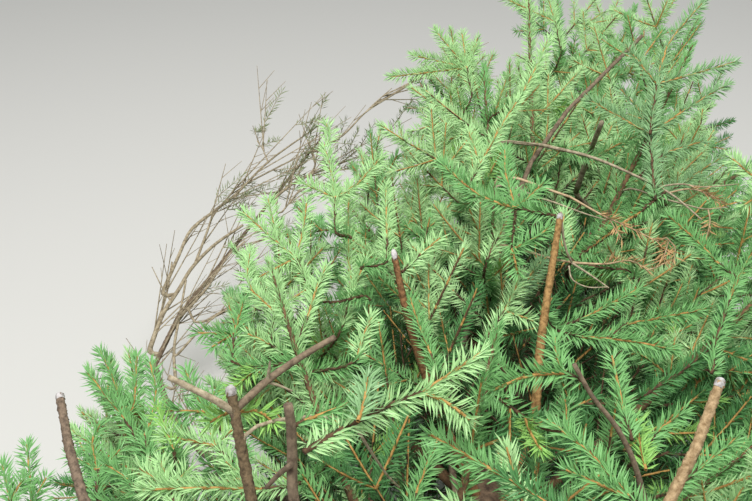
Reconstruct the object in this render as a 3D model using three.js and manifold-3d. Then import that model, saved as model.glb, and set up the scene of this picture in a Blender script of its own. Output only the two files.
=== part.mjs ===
// A felled spruce of the kind sold as a Christmas tree, lying on its side on level ground.
// Millimetres, +Z up. The trunk lies along +Y with its sawn butt towards -Y, and the boughs
// underneath have bent out sideways under its weight. The upper boughs have been clipped short.
// Azimuths run round the trunk, in degrees: 0 is +X, 90 is up and 180 is -X.
import * as THREE from "three";
import { mergeVertices } from "three/addons/utils/BufferGeometryUtils.js";
import Module from "manifold-3d";

const wasm = await Module();
wasm.setup();

// The trunk
const TREE_LENGTH = 2240; // sawn butt to the tip of the leader
const TRUNK_END = 1850; // the trunk becomes the leader here
const BUTT_RADIUS = 37;
const BUTT_SWELL = 5; // extra radius at the saw cut, gone within a hand's breadth
const LEADER_RADIUS = 5.5;
const BUTT_HEIGHT = 205; // centre line above the ground
const TIP_HEIGHT = 220;
const TRUNK_BOW = 16; // sideways sweep of the trunk at mid length
const TRUNK_ARCH = 36; // and how far it arches up there
const TRUNK_SIDES = 12;
const TRUNK_RINGS = 12;

// The whorls of boughs: station along the trunk, whether their foliage is carried out on bare
// boughs, and each bough's azimuth and its share of full length
const WHORLS = [
  { station: 300, bare: true, boughs: [[203, 0.95], [272, 0.9], [338, 1]] },
  { station: 415, bare: false, boughs: [[86, 0.58]] },
  { station: 510, bare: true, boughs: [[128, 0.66], [183, 1], [240, 1], [300, 0.95], [8, 1]] },
  { station: 660, bare: true, boughs: [[45, 0.84]] },
  { station: 715, bare: false, boughs: [[157, 0.84], [232, 1], [296, 1], [352, 1]] },
  { station: 930, bare: false, boughs: [[68, 0.9], [108, 0.78], [154, 0.8], [212, 1], [280, 1], [350, 1]] },
  { station: 1140, bare: false, boughs: [[104, 1], [176, 0.95], [248, 1], [320, 1], [32, 1]] },
  { station: 1340, bare: false, boughs: [[60, 1], [150, 1], [240, 1], [330, 1]] },
  { station: 1530, bare: false, boughs: [[108, 1], [198, 1], [288, 1], [18, 1]] },
  { station: 1700, bare: false, boughs: [[75, 1], [195, 1], [315, 1]] },
];

// The boughs clipped short on the upper side: the points they pass through, and last the saw cut
const CLIPPED_BOUGHS = [
  { name: "clipped_1", station: 300, route: [[105, 368, 395], [180, 462, 547], [197, 505, 604]] },
  { name: "clipped_2", station: 290, route: [[-52, 340, 400], [-93, 380, 520], [-118, 411, 600]] },
  { name: "clipped_3", station: 300, route: [[-140, 345, 360], [-250, 412, 468], [-304, 480, 503]] },
  { name: "clipped_4", station: 625, route: [[58, 681, 364], [55, 732, 452], [54, 824, 545]] },
  { name: "clipped_5", station: 715, route: [[-50, 735, 370], [-82, 757, 440], [-104, 778, 508]] },
];

// The crown
const CROWN_RADIUS = 600; // at the first whorl
const CROWN_POWER = 0.82; // how full the cone stays towards its top
const RISE = { low: 14, high: 40 }; // a bough's angle towards the tip where it leaves the trunk
const RISE_GAIN = 20; // and how much steeper it is at its own end
const SAG = 0.32; // droop of a bough that sticks out sideways
const GROUND_REACH = 130; // a bough starts to turn along the ground this far above it
const GROUND_CLEAR = 22; // and its centre line stays this far above it
const LIMB_STEPS = 10;
const BARE_SHARE = 0.36; // how much of a bough is bare in the lower whorls
const CLIP_STUB = 105; // on a clipped bough, from the last side twigs to the cut

// Sections of wood
const BOUGH_RADIUS = { low: 8.5, high: 4.5 };
const TWIG_RADIUS = 2.6;
const BOUGH_SIDES = 6;
const STEM_SIDES = 4;
const TWIG_SIDES = 3;
const GAP = 0.3; // between solids that touch

// The sprays of needles
const SPRAY_LONGEST = 235;
const SPRAY_SHORTEST = 95;
const SHORT_SPRAY = 150; // up to this length a spray has two pairs of teeth, and above it three
const SPRAY_SLIMNESS = 0.36; // width over length
const SPRAY_THICKNESS = 0.028; // thickness over length
const SPRAY_SINK = 1.2; // how far past a twig's middle a spray's root lies
const TWIG_ANGLE = 50; // side twigs from the stem
const PAIR_SPACING = 172; // pairs of side twigs along a stem
const OWN_MARGIN = 5; // a spray keeps this much nearer its own bough than any other
const TRUNK_CLEAR = 9;
const LOWEST = 1.5; // nothing is lower than this over the ground

const radians = THREE.MathUtils.degToRad;
const mix = THREE.MathUtils.lerp;
const AXIS = new THREE.Vector3(0, 1, 0);
const UP = new THREE.Vector3(0, 0, 1);

// A number from 0 to 1 that depends only on where in the tree it is used
function chance(...keys) {
  const turn = keys.reduce((sum, key, i) => sum + key * [12.9898, 78.233, 37.719, 4.581][i], 1.37);
  const value = Math.sin(turn) * 43758.5453;
  return value - Math.floor(value);
}

function trunkPoint(station) {
  const share = station / TREE_LENGTH;
  return new THREE.Vector3(
    TRUNK_BOW * Math.sin(Math.PI * share),
    station,
    mix(BUTT_HEIGHT, TIP_HEIGHT, share) + TRUNK_ARCH * Math.sin(Math.PI * share),
  );
}

function trunkRadius(station) {
  const share = Math.min(station / TRUNK_END, 1);
  return mix(BUTT_RADIUS, LEADER_RADIUS, share ** 0.9) + BUTT_SWELL * Math.exp(-station / 70);
}

function crownRadius(station) {
  const first = WHORLS[0].station;
  const share = (station - first) / (TREE_LENGTH - first);
  return CROWN_RADIUS * (1 - share) ** CROWN_POWER;
}

function radialOf(azimuth) {
  return new THREE.Vector3(Math.cos(radians(azimuth)), 0, Math.sin(radians(azimuth)));
}

// The centre line of a bough: it leaves the trunk at its rise, steepens towards the tip of the
// tree, droops if it sticks out sideways, and turns along the ground where it meets it.
function boughPath(station, azimuth, length) {
  const radial = radialOf(azimuth);
  const height = station / TREE_LENGTH;
  const rise = mix(RISE.low, RISE.high, height);
  const at = trunkPoint(station);
  const points = [at.clone()];
  const step = length / LIMB_STEPS;
  for (let i = 0; i < LIMB_STEPS; i++) {
    const share = (i + 0.5) / LIMB_STEPS;
    const angle = radians(rise + RISE_GAIN * share);
    const way = radial.clone().multiplyScalar(Math.cos(angle)).addScaledVector(AXIS, Math.sin(angle));
    way.z -= SAG * share * (1 - Math.max(0, Math.sin(radians(azimuth))));
    const room = THREE.MathUtils.clamp((at.z - GROUND_CLEAR) / GROUND_REACH, 0, 1);
    if (way.z < 0) way.z *= room;
    way.normalize();
    at.addScaledVector(way, step);
    points.push(at.clone());
  }
  return points;
}

function alongRoute(points, steps) {
  return new THREE.CatmullRomCurve3(points, false, "centripetal").getSpacedPoints(steps);
}

function pathLength(path) {
  return path.slice(1).reduce((sum, point, i) => sum + point.distanceTo(path[i]), 0);
}

// Every living bough, with its centre line
function listBoughs() {
  const listed = CLIPPED_BOUGHS.map(({ name, station, route }) => {
    const from = trunkPoint(station);
    const path = alongRoute([from, ...route.map((at) => new THREE.Vector3(...at))], LIMB_STEPS);
    const out = path[LIMB_STEPS / 2].clone().sub(from);
    const azimuth = THREE.MathUtils.radToDeg(Math.atan2(out.z, out.x));
    return { name, station, azimuth, path, clipped: true, paired: true };
  });
  WHORLS.forEach(({ station, bare, boughs }, w) => {
    boughs.forEach(([azimuth, share], j) => {
      const rise = mix(RISE.low, RISE.high, station / TREE_LENGTH) + RISE_GAIN / 2;
      const length = (share * crownRadius(station)) / Math.cos(radians(rise));
      const path = boughPath(station, azimuth, length);
      listed.push({ name: `${w + 1}_${j + 1}`, station, azimuth, path, clipped: false, paired: bare });
    });
  });
  return listed.map((bough) => ({ ...bough, length: pathLength(bough.path) }));
}

const boughs = listBoughs();

// Dead limbs: routes by hand, from the trunk outwards
const DEAD_ROUTES = {
  // a long dead bough, pressed down by the fall and sprung forward along the left side
  dead_limb: [
    trunkPoint(640),
    new THREE.Vector3(-210, 760, 150),
    new THREE.Vector3(-400, 880, 92),
    new THREE.Vector3(-532, 1020, 112),
    new THREE.Vector3(-487, 1250, 200),
    new THREE.Vector3(-415, 1450, 300),
  ],
  // a dead bough broken off short, that leans over to the right
  dead_stick: [
    trunkPoint(640),
    new THREE.Vector3(-45, 800, 320),
    new THREE.Vector3(-28, 960, 412),
    new THREE.Vector3(-1, 1102, 494),
    new THREE.Vector3(98, 1352, 563),
  ],
};

const deadLimb = alongRoute(DEAD_ROUTES.dead_limb, 12);
const deadStick = alongRoute(DEAD_ROUTES.dead_stick, 8);

// Distance from a point to a run of straight pieces
const piece = new THREE.Line3();
const foot = new THREE.Vector3();
function distanceTo(path, point) {
  let least = Infinity;
  for (let i = 1; i < path.length; i++) {
    piece.set(path[i - 1], path[i]).closestPointToPoint(point, true, foot);
    least = Math.min(least, foot.distanceTo(point));
  }
  return least;
}

const trunkLine = [];
for (let i = 0; i <= 20; i++) trunkLine.push(trunkPoint((TREE_LENGTH * i) / 20));

// Whether a point lies in a bough's own space: nearer to it than to any other limb
function isOwn(point, path) {
  if (point.z < LOWEST) return false;
  const trunkNear = trunkRadius(THREE.MathUtils.clamp(point.y, 0, TREE_LENGTH));
  if (distanceTo(trunkLine, point) - trunkNear < TRUNK_CLEAR) return false;
  const own = distanceTo(path, point) + OWN_MARGIN;
  const others = boughs.map((bough) => bough.path).concat([deadLimb, deadStick]);
  return others.every((other) => other === path || distanceTo(other, point) > own);
}

// A closed mesh as a solid that can be joined and cut
function solidOf(geometry) {
  const bare = geometry.clone();
  bare.deleteAttribute("normal");
  bare.deleteAttribute("uv");
  const merged = mergeVertices(bare, 1e-3);
  return new wasm.Manifold(
    new wasm.Mesh({
      numProp: 3,
      vertProperties: new Float32Array(merged.attributes.position.array),
      triVerts: new Uint32Array(merged.index.array),
    }),
  );
}

function geometryOf(solid) {
  const mesh = solid.getMesh();
  const geometry = new THREE.BufferGeometry();
  geometry.setAttribute("position", new THREE.BufferAttribute(mesh.vertProperties, 3));
  geometry.setIndex(new THREE.BufferAttribute(mesh.triVerts, 1));
  return geometry.toNonIndexed();
}

// A closed geometry from corner points and triangles
function facets(points, triangles) {
  const geometry = new THREE.BufferGeometry();
  const corners = points.flatMap((p) => p.toArray());
  geometry.setAttribute("position", new THREE.Float32BufferAttribute(corners, 3));
  geometry.setIndex(triangles.flat());
  return geometry;
}

// A tapered limb: a ring at each point of its path, closed by a flat cap at both ends.
// The caps are square to the path unless other directions are given.
function limb(path, radii, sides, startWay = null, endWay = null) {
  const points = [];
  const triangles = [];
  let side = null;
  path.forEach((at, i) => {
    const before = path[Math.max(i - 1, 0)];
    const after = path[Math.min(i + 1, path.length - 1)];
    const given = i === 0 ? startWay : i === path.length - 1 ? endWay : null;
    const along = (given ?? after.clone().sub(before)).clone().normalize();
    side = side ?? new THREE.Vector3().crossVectors(along, Math.abs(along.z) > 0.9 ? AXIS : UP);
    side = side.clone().addScaledVector(along, -side.dot(along)).normalize();
    const over = new THREE.Vector3().crossVectors(along, side);
    for (let k = 0; k < sides; k++) {
      const turn = (2 * Math.PI * (k + 0.5)) / sides;
      points.push(
        at.clone()
          .addScaledVector(side, radii[i] * Math.cos(turn))
          .addScaledVector(over, radii[i] * Math.sin(turn)),
      );
    }
  });
  const last = (path.length - 1) * sides;
  for (let i = 0; i + 1 < path.length; i++) {
    for (let k = 0; k < sides; k++) {
      const a = i * sides + k;
      const b = i * sides + ((k + 1) % sides);
      triangles.push([a, b, b + sides], [a, b + sides, a + sides]);
    }
  }
  for (let k = 1; k + 1 < sides; k++) {
    triangles.push([0, k + 1, k], [last, last + k, last + k + 1]);
  }
  return facets(points, triangles);
}

// A spray of needles as a knife-edged blade with teeth that point forward, for a length of 1.
// It lies along +X from the origin, flat in XY, and is thickest along its rib. Each tooth is given
// by its place along the blade and its share of the blade's half width.
function sprayBlade(teeth) {
  const half = SPRAY_SLIMNESS / 2;
  const outline = [[0, half * 0.045]];
  for (const [share, span] of teeth) outline.push([share, half * span], [share - 0.05, half * 0.26]);
  const ribs = teeth.length > 2 ? [0.24, 0.62] : [0.34];
  const points = [];
  for (const side of [1, -1]) {
    for (const [x, y] of outline) points.push(new THREE.Vector3(x, side * y, 0));
  }
  const tip = points.push(new THREE.Vector3(1, 0, 0)) - 1;
  const firstRib = points.length;
  for (const face of [1, -1]) {
    for (const x of ribs) points.push(new THREE.Vector3(x, 0, (face * SPRAY_THICKNESS) / 2));
  }
  const triangles = [];
  for (const [face, faceSign] of [1, -1].entries()) {
    const rib = (k) => firstRib + face * ribs.length + (ribs.length > 1 && k >= 5 ? 1 : 0);
    for (const [row, sideSign] of [1, -1].entries()) {
      const edge = outline.map((_, k) => row * outline.length + k).concat(tip);
      const add = (a, b, c) => triangles.push(faceSign * sideSign > 0 ? [a, c, b] : [a, b, c]);
      for (let k = 0; k + 1 < edge.length; k++) {
        add(rib(k), edge[k], edge[k + 1]);
        if (rib(k + 1) !== rib(k)) add(rib(k), edge[k + 1], rib(k + 1));
      }
    }
    const root = [0, outline.length, rib(0)];
    triangles.push(faceSign > 0 ? root : [root[0], root[2], root[1]]);
  }
  return facets(points, triangles);
}

const longBlade = sprayBlade([[0.36, 1], [0.64, 0.9], [0.87, 0.56]]);
const shortBlade = sprayBlade([[0.46, 1], [0.78, 0.74]]);

// A blade set with its root at a point, along a direction, its flat side as near as may be to a plane
function placeBlade(root, way, flat, length) {
  const across = new THREE.Vector3().crossVectors(flat, way).normalize();
  const normal = new THREE.Vector3().crossVectors(way, across).normalize();
  const matrix = new THREE.Matrix4().makeBasis(
    way.clone().multiplyScalar(length),
    across.multiplyScalar(length),
    normal.multiplyScalar(length),
  );
  matrix.setPosition(root.clone().addScaledVector(way, -SPRAY_SINK));
  return (length > SHORT_SPRAY ? longBlade : shortBlade).clone().applyMatrix4(matrix);
}

// Turns a direction up until something that long stays clear of the ground
function clearOfGround(from, way, length, clear) {
  const lowest = (LOWEST + clear - from.z) / length;
  if (way.z >= lowest) return way;
  const level = new THREE.Vector3(way.x, way.y, 0).normalize();
  const z = THREE.MathUtils.clamp(lowest, -0.9, 0.9);
  return level.multiplyScalar(Math.sqrt(1 - z * z)).setZ(z);
}

function staysOwn(geometry, path) {
  const corners = geometry.attributes.position;
  const point = new THREE.Vector3();
  for (let i = 0; i < corners.count; i++) {
    point.fromBufferAttribute(corners, i);
    if (!isOwn(point, path)) return false;
  }
  return true;
}

// Adds a spray that stays in the bough's own space, narrower set or smaller if that is what it takes.
// Near the ground a spray lies flat.
function addSpray(parts, bough, root, way, flat, length) {
  const lies = root.z < GROUND_REACH ? UP : flat;
  const along = wayNear(bough.path, root);
  for (const shrink of [1, 0.8, 0.64, 0.5, 0.4]) {
    for (const turn of [0, 0.5]) {
      const reach = Math.min(length, SPRAY_LONGEST) * shrink + SPRAY_SINK;
      const clear = (lies === UP ? SPRAY_THICKNESS : SPRAY_SLIMNESS / 2) * reach;
      const turned = way.clone().lerp(along, turn).normalize();
      const blade = placeBlade(root, clearOfGround(root, turned, reach, clear), lies, reach);
      if (staysOwn(blade, bough.path)) {
        parts.push(solidOf(blade));
        return true;
      }
    }
  }
  return false;
}

// The flat of a spray: the plane in which a bough spreads its twigs, turned flatter near the ground
function flatOf(bough, way, lean) {
  const across = new THREE.Vector3().crossVectors(AXIS, radialOf(bough.azimuth));
  const flat = new THREE.Vector3().crossVectors(way, across).normalize();
  return flat.applyAxisAngle(way, radians(lean));
}

// The foliage of one bough: a stem that goes on from the bough or the trunk, side twigs in pairs
// along it, and sprays of needles on the twigs and at the end.
function foliage(bough, key) {
  const { path, length } = bough;
  const start = bough.paired ? BARE_SHARE : 0;
  const parts = [];
  const stemEnd = bough.clipped ? 1 : 1 - tipSprayLength(bough) / length;
  const shares = [start, mix(start, stemEnd, 0.5), stemEnd];
  const stem = shares.map((share) => pointOn(path, share));
  const startWay = wayOn(path, start);
  if (start > 0) stem[0].addScaledVector(startWay, GAP);
  const radii = shares.map((share) => woodRadius(bough, share));
  parts.push(solidOf(limb(stem, radii, STEM_SIDES, startWay)));
  const across = new THREE.Vector3().crossVectors(AXIS, radialOf(bough.azimuth));
  const lastTwigs = bough.clipped ? 1 - CLIP_STUB / length : stemEnd;
  const firstTwigs = Math.max(start + 0.04, 60 / length);
  const spaces = Math.max(1, Math.round(((lastTwigs - firstTwigs) * length) / PAIR_SPACING));
  for (let i = 0; i <= spaces; i++) {
    const share = mix(firstTwigs, lastTwigs, i / spaces);
    const here = pointOn(path, share);
    const way = wayOn(path, share);
    for (const side of [1, -1]) {
      const odd = chance(key, i, side + 2);
      const angle = radians(TWIG_ANGLE + 16 * (odd - 0.5));
      const lift = 0.5 * (chance(key, i, side + 5) - 0.4);
      const twigWay = way.clone().multiplyScalar(Math.cos(angle))
        .addScaledVector(across, side * Math.sin(angle))
        .addScaledVector(new THREE.Vector3().crossVectors(across, way), lift)
        .normalize();
      const flat = flatOf(bough, twigWay, 50 * (odd - 0.5));
      addSide(parts, bough, here, twigWay, flat, 0.46 * length * (1 - 0.7 * share) + 40);
    }
  }
  if (!bough.clipped) {
    const end = pointOn(path, stemEnd);
    const way = pointOn(path, 1).sub(end).normalize();
    addSpray(parts, bough, end, way, flatOf(bough, way, 20), tipSprayLength(bough));
  }
  return joined(parts);
}

// A side twig and its sprays: a short one is all spray, a long one is a twig with sprays on its end
function addSide(parts, bough, root, way, flat, reach) {
  const twigLength = reach - SPRAY_LONGEST * 0.72;
  const aimed = clearOfGround(root, way, Math.max(twigLength, 1), 10);
  const end = root.clone().addScaledVector(aimed, twigLength);
  const isClear = [0.4, 0.7, 1].every((s) => isOwn(root.clone().lerp(end, s), bough.path));
  const long = twigLength > 80 && isClear;
  if (!long) {
    addSpray(parts, bough, root, way, flat, Math.max(Math.min(reach, SPRAY_LONGEST), SPRAY_SHORTEST));
    return;
  }
  parts.push(solidOf(limb([root, end], [TWIG_RADIUS + 0.8, TWIG_RADIUS], TWIG_SIDES)));
  const forked = addSpray(parts, bough, end, aimed, flat, SPRAY_LONGEST * 0.8);
  const inner = aimed.clone().applyAxisAngle(flat, radians(forked ? 44 : 20));
  addSpray(parts, bough, root.clone().lerp(end, 0.6), inner, flat, SPRAY_LONGEST * 0.66);
}

function tipSprayLength(bough) {
  return THREE.MathUtils.clamp(0.3 * bough.length, SPRAY_SHORTEST, SPRAY_LONGEST * 0.9);
}

// The parts as one body, with any piece that stays loose left out
function joined(parts) {
  const whole = wasm.Manifold.union(parts);
  const bodies = whole.decompose().sort((a, b) => b.volume() - a.volume());
  return bodies[0];
}

function pointOn(path, share) {
  const place = THREE.MathUtils.clamp(share, 0, 1) * (path.length - 1);
  const i = Math.min(Math.floor(place), path.length - 2);
  return path[i].clone().lerp(path[i + 1], place - i);
}

function wayOn(path, share) {
  return pointOn(path, share + 0.02).sub(pointOn(path, share - 0.02)).normalize();
}

// The direction of a path at its point nearest to a given one
function wayNear(path, point) {
  const distances = path.map((at) => at.distanceTo(point));
  return wayOn(path, distances.indexOf(Math.min(...distances)) / (path.length - 1));
}

function woodRadius(bough, share) {
  const root = mix(BOUGH_RADIUS.low, BOUGH_RADIUS.high, bough.station / TREE_LENGTH);
  const end = bough.clipped ? root * 0.55 : 1.8;
  return mix(root, end, share);
}

// Materials
const finish = (color, roughness) => new THREE.MeshStandardMaterial({ color, roughness, metalness: 0 });
const bark = finish(0x6b5340, 0.9);
const boughBark = finish(0x7a5a3a, 0.85);
const deadWood = finish(0x8d8574, 0.95);
const needles = finish(0x5f9a6c, 0.6);

const tree = new THREE.Group();
function addNode(name, solid, material) {
  const mesh = new THREE.Mesh(geometryOf(solid), material);
  mesh.name = name;
  tree.add(mesh);
}

// The trunk, from the saw cut to the foot of the leader, and the same shape a gap thicker
function trunkSolid(extra) {
  const path = [];
  const radii = [];
  for (let i = 0; i <= TRUNK_RINGS; i++) {
    const station = TRUNK_END * (i / TRUNK_RINGS) ** 1.3;
    path.push(trunkPoint(station));
    radii.push(trunkRadius(station) + extra);
  }
  // the saw cut is square to +Y, so the first ring is turned upright
  const geometry = limb(path, radii, TRUNK_SIDES);
  const corners = geometry.attributes.position;
  for (let k = 0; k < TRUNK_SIDES; k++) corners.setY(k, -extra);
  return solidOf(geometry);
}

const trunk = trunkSolid(0);
const trunkRoom = trunkSolid(GAP);
addNode("trunk", trunk, bark);

boughs.forEach((bough, k) => {
  if (bough.paired) {
    const shares = [0, 0.12, 0.24, BARE_SHARE];
    const wood = limb(
      shares.map((s) => pointOn(bough.path, s)),
      shares.map((s) => woodRadius(bough, s)),
      BOUGH_SIDES,
      null,
      wayOn(bough.path, BARE_SHARE),
    );
    addNode(`bough_${bough.name}`, joined([solidOf(wood).subtract(trunkRoom)]), boughBark);
  }
  addNode(`foliage_${bough.name}`, joined([foliage(bough, k + 1).subtract(trunkRoom)]), needles);
});

// The leader: a straight stem with sprays all round it
function leaderSolid() {
  const from = trunkPoint(TRUNK_END + GAP);
  const to = trunkPoint(TREE_LENGTH - 60);
  const parts = [solidOf(limb([from, to], [LEADER_RADIUS, 3], STEM_SIDES))];
  const way = to.clone().sub(from).normalize();
  for (let k = 0; k < 4; k++) {
    const out = radialOf(140 + 90 * k).addScaledVector(way, 0.9).normalize();
    const root = from.clone().addScaledVector(way, 22);
    const end = root.clone().addScaledVector(out, 75);
    parts.push(solidOf(limb([root, end], [TWIG_RADIUS, TWIG_RADIUS], TWIG_SIDES)));
    parts.push(solidOf(placeBlade(end, out, UP, 120)));
  }
  const rows = 3;
  for (let row = 0; row < rows; row++) {
    const root = from.clone().lerp(to, (row + 0.7) / rows);
    for (let k = 0; k < 2; k++) {
      const azimuth = 180 * k + 90 * row;
      const out = way.clone().multiplyScalar(0.75).addScaledVector(radialOf(azimuth), 0.66).normalize();
      const flat = new THREE.Vector3().crossVectors(out, way).normalize();
      parts.push(solidOf(placeBlade(root, out, flat, 120)));
    }
  }
  parts.push(solidOf(placeBlade(to, way, UP, 60 + SPRAY_SINK)));
  return joined(parts);
}
addNode("leader", leaderSolid(), needles);

// The dead wood: the long limb is split where it bends, and ends in bare twigs
const DEAD_RADII = { limb: [8, 2.4], stick: [4.6, 3] };
function deadPiece(path, from, to, startGap) {
  const [root, end] = path === deadLimb ? DEAD_RADII.limb : DEAD_RADII.stick;
  const last = path.length - 1;
  const points = path.slice(from, to + 1).map((p) => p.clone());
  const startWay = wayOn(path, from / last);
  if (startGap) points[0].addScaledVector(startWay, GAP);
  const radii = points.map((_, i) => mix(root, end, (from + i) / last));
  return solidOf(limb(points, radii, BOUGH_SIDES, startWay, wayOn(path, to / last)));
}
addNode("dead_limb_root", joined([deadPiece(deadLimb, 0, 6, false).subtract(trunkRoom)]), deadWood);

function deadTwigs() {
  const parts = [deadPiece(deadLimb, 6, 12, true)];
  for (let i = 0; i < 6; i++) {
    const root = pointOn(deadLimb, mix(0.8, 0.97, i / 5));
    const lift = 0.35 + 0.5 * (chance(i, 71) - 0.4);
    const way = new THREE.Vector3(i % 2 ? 0.45 : -0.55, 0.75, lift).normalize();
    const end = root.clone().addScaledVector(way, mix(150, 90, i / 5));
    parts.push(solidOf(limb([root, end], [2.4, 1.2], TWIG_SIDES)));
  }
  return joined(parts);
}
addNode("dead_limb_end", deadTwigs(), deadWood);
addNode("dead_stick", joined([deadPiece(deadStick, 0, 8, false).subtract(trunkRoom)]), deadWood);

// The origin is in the middle of the tree's length and width, at the ground
const bounds = new THREE.Box3().setFromObject(tree);
const middle = bounds.getCenter(new THREE.Vector3());
tree.position.set(-middle.x, -middle.y, -bounds.min.z);

export default tree;
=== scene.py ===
import math
from collections import namedtuple

import bpy
import numpy as np
from mathutils import Matrix, Vector


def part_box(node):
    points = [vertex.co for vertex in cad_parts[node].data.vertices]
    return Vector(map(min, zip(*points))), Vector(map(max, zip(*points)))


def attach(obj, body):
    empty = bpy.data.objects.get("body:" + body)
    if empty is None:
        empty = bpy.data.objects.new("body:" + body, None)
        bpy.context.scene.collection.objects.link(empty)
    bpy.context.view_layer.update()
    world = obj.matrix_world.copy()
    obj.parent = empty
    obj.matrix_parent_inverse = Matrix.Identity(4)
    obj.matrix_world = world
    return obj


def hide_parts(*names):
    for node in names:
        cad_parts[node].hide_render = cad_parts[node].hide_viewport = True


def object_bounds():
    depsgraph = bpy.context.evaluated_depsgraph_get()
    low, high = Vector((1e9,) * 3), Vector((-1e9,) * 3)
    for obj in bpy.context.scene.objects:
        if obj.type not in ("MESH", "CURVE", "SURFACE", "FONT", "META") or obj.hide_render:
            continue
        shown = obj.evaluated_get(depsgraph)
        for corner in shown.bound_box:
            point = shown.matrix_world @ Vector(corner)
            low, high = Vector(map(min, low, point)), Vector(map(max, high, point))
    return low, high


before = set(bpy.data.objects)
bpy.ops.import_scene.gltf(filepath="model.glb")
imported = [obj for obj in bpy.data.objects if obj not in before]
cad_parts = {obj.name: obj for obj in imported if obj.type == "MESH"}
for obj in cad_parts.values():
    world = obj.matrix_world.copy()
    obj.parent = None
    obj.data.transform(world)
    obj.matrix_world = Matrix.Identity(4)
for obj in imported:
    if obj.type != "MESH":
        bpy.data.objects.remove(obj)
cad_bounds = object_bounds()

# The limbs, as in the part's source
TREE_LENGTH = 2.240
TRUNK_END = 1.850
BUTT_RADIUS = 0.037
BUTT_SWELL = 0.005
LEADER_RADIUS = 0.0055
BUTT_HEIGHT = 0.205
TIP_HEIGHT = 0.220
TRUNK_BOW = 0.016
TRUNK_ARCH = 0.036
CROWN_RADIUS = 0.600
CROWN_POWER = 0.82
RISE_LOW, RISE_HIGH, RISE_GAIN = 14.0, 40.0, 20.0
SAG = 0.32
GROUND_REACH = 0.130
GROUND_CLEAR = 0.022
LIMB_STEPS = 10
CURVE_STEPS = 60
BARE_SHARE = 0.36
CLIP_STUB = 0.105
BOUGH_RADIUS_LOW, BOUGH_RADIUS_HIGH = 0.0085, 0.0045
TWIG_ANGLE = 50.0
FIRST_WHORL = 0.300
WHORLS = [
    (0.300, True, [(203, 0.95), (272, 0.9), (338, 1)]),
    (0.415, False, [(86, 0.58)]),
    (0.510, True, [(128, 0.66), (183, 1), (240, 1), (300, 0.95), (8, 1)]),
    (0.660, True, [(45, 0.84)]),
    (0.715, False, [(157, 0.84), (232, 1), (296, 1), (352, 1)]),
    (0.930, False, [(68, 0.9), (108, 0.78), (154, 0.8), (212, 1), (280, 1), (350, 1)]),
    (1.140, False, [(104, 1), (176, 0.95), (248, 1), (320, 1), (32, 1)]),
    (1.340, False, [(60, 1), (150, 1), (240, 1), (330, 1)]),
    (1.530, False, [(108, 1), (198, 1), (288, 1), (18, 1)]),
    (1.700, False, [(75, 1), (195, 1), (315, 1)]),
]
CLIPPED = [
    ("clipped_1", 0.300, [(0.105, 0.368, 0.395), (0.180, 0.462, 0.547), (0.197, 0.505, 0.604)]),
    ("clipped_2", 0.290, [(-0.052, 0.340, 0.400), (-0.093, 0.380, 0.520), (-0.118, 0.411, 0.600)]),
    ("clipped_3", 0.300, [(-0.140, 0.345, 0.360), (-0.250, 0.412, 0.468), (-0.304, 0.480, 0.503)]),
    ("clipped_4", 0.625, [(0.058, 0.681, 0.364), (0.055, 0.732, 0.452), (0.054, 0.824, 0.545)]),
    ("clipped_5", 0.715, [(-0.050, 0.735, 0.370), (-0.082, 0.757, 0.440), (-0.104, 0.778, 0.508)]),
]
DEAD_LIMB = [(-0.210, 0.760, 0.150), (-0.400, 0.880, 0.092), (-0.532, 1.020, 0.112),
             (-0.487, 1.250, 0.200), (-0.415, 1.450, 0.300)]
DEAD_STICK = [(-0.045, 0.800, 0.320), (-0.028, 0.960, 0.412), (-0.001, 1.102, 0.494),
              (0.098, 1.352, 0.563)]
DEAD_FROM = 0.640
BUTT_CORNERS = 12
CLIPPED_TAPER, BOUGH_END_RADIUS = 0.55, 0.0018
DEAD_LIMB_RADII, DEAD_STICK_RADII = (0.0080, 0.0024), (0.0046, 0.0030)

# Twigs and needles, true to life where they are seen close to
SHOOT_RADIUS = 0.0013
NODE_SPACING = {2: 0.078, 3: 0.060}
PAIRS_SEEN, PAIRS_UNSEEN = 0.058, 0.088
NEEDLE_LENGTH = 0.0165
NEEDLE_WIDTH = 0.0018
NEEDLES_PER_METRE = 1720
FAR_NEEDLES_PER_METRE = 620
FAR_NEEDLE_SCALE = (1.2, 1.7)
INNER_SHARE, SHADED_SHARE = 0.44, 0.58
INNER_SHOOTS = 0.35
DEAD_TWIGS = 96
DEAD_LEFT, DEAD_TOP = -0.575, 0.55
CLOSED_OVER, POINT_RADIUS = 0.0017, 0.00002
MOST_TRIANGLES = 190000
LOWEST, GROUND_GAP, TRUNK_GAP = 0.0015, 0.012, 0.012

# Small boughs between the whorls, above, below, to the left and to the right: how many, where along the
# trunk, how far round and how long
FILLERS = [
    (30, (0.50, 1.55), (15, 200), (0.45, 0.72)),
    (16, (0.42, 1.60), (200, 375), (0.45, 0.75)),
    (11, (0.34, 0.66), (132, 186), (0.60, 0.86)),
    (14, (0.46, 1.50), (4, 64), (0.60, 0.86)),
]
FILLER_RADII = (0.0034, 0.0016)

# The room that sprays and small boughs leave in front of a placed twig
SPRAY_CLEAR, FILLER_CLEAR = 0.017, 0.010
# How much nearer to a spray another limb may be than its own bough, and the lengths at which it is tried
OWN_SLACK = 0.024
SHRINKS = (1, 0.8, 0.62, 0.45)

# How a spray's tone is picked: what its place adds to a number by chance, as painted light and shade, and
# where the tones part
HEIGHT_LIGHT_GAIN, MIDDLE_HEIGHT = 1.3, 0.30
RIGHT_SHADE_LOSS, MIDDLE_ACROSS = 0.15, -0.06
FURTHER_FROM, FURTHER_MOST = 0.80, 0.14
LEFT_OF, LEFT_LIGHT_GAIN = -0.08, 0.25
SHADED_LOSS = 0.22
SHADED_HOLLOW_AT, SHADED_HOLLOW_REACH, HOLLOW_SHADE_LOSS = (-0.017, 0.550), 0.085, 0.5
MINT_OVER, GREEN_OVER = 0.76, 0.26

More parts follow.
